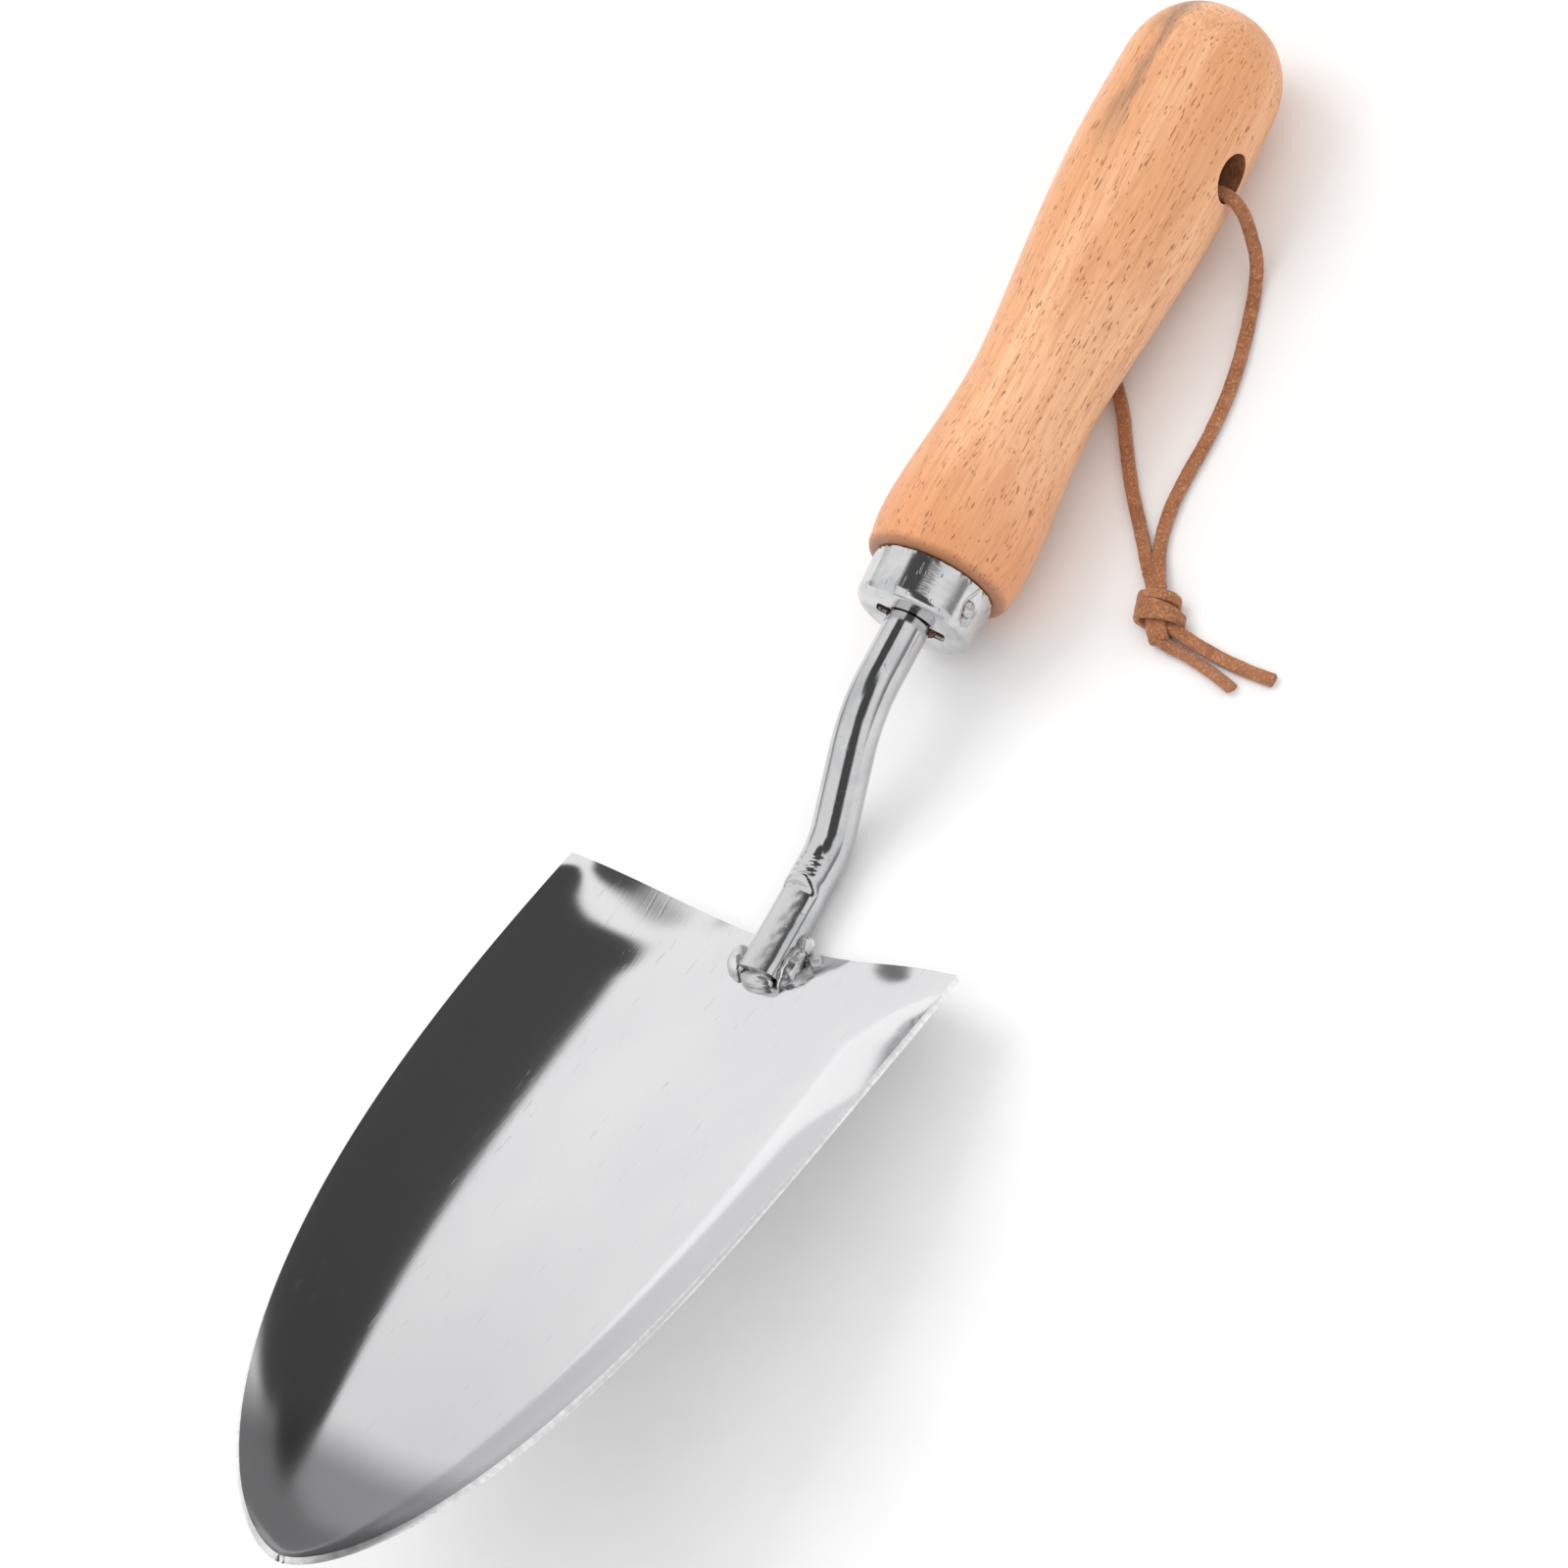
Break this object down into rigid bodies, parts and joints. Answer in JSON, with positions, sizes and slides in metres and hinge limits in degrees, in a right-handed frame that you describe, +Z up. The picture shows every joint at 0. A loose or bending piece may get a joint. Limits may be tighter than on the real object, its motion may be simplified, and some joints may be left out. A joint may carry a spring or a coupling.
{
  "type": "hand trowel",
  "caption": "Garden hand trowel: polished dished steel blade on a cranked round shank, turned beech handle with ferrule and a suede hanging lace.",
  "frame": {"origin": "on the surface the trowel lies on, below the middle of its length and width without the lace", "axes": "+Y along the handle's axis from the blade's tip to the handle's end, +Z up out of the blade's hollow, +X to the right"},
  "size_m": [0.1003, 0.33, 0.0509],
  "materials": {
    "polished_steel": "mirror-polished stainless sheet with fine lengthwise polishing scratches",
    "rod_steel": "bright polished stainless rod",
    "weld_steel": "shiny rippled weld metal, darker where it meets the blade",
    "ferrule_steel": "polished drawn ferrule",
    "nail_steel": "bright round-headed nail",
    "beech": "satin lacquered beech with short dark flecks",
    "suede": "brown suede lace with darker cut edges"
  },
  "bodies": {
    "root": {"blade": "polished_steel", "shank": "rod_steel", "weld_bead_right": "weld_steel", "weld_bead_left": "weld_steel", "weld_bead_front": "weld_steel", "weld_bead_heel": "weld_steel", "ferrule": "ferrule_steel", "ferrule_nail": "nail_steel", "handle": "beech", "lace_strand_right": "suede", "lace_strand_left": "suede", "lace_knot": "suede", "lace_tail_long": "suede", "lace_tail_short": "suede"}
  },
  "joints": []
}
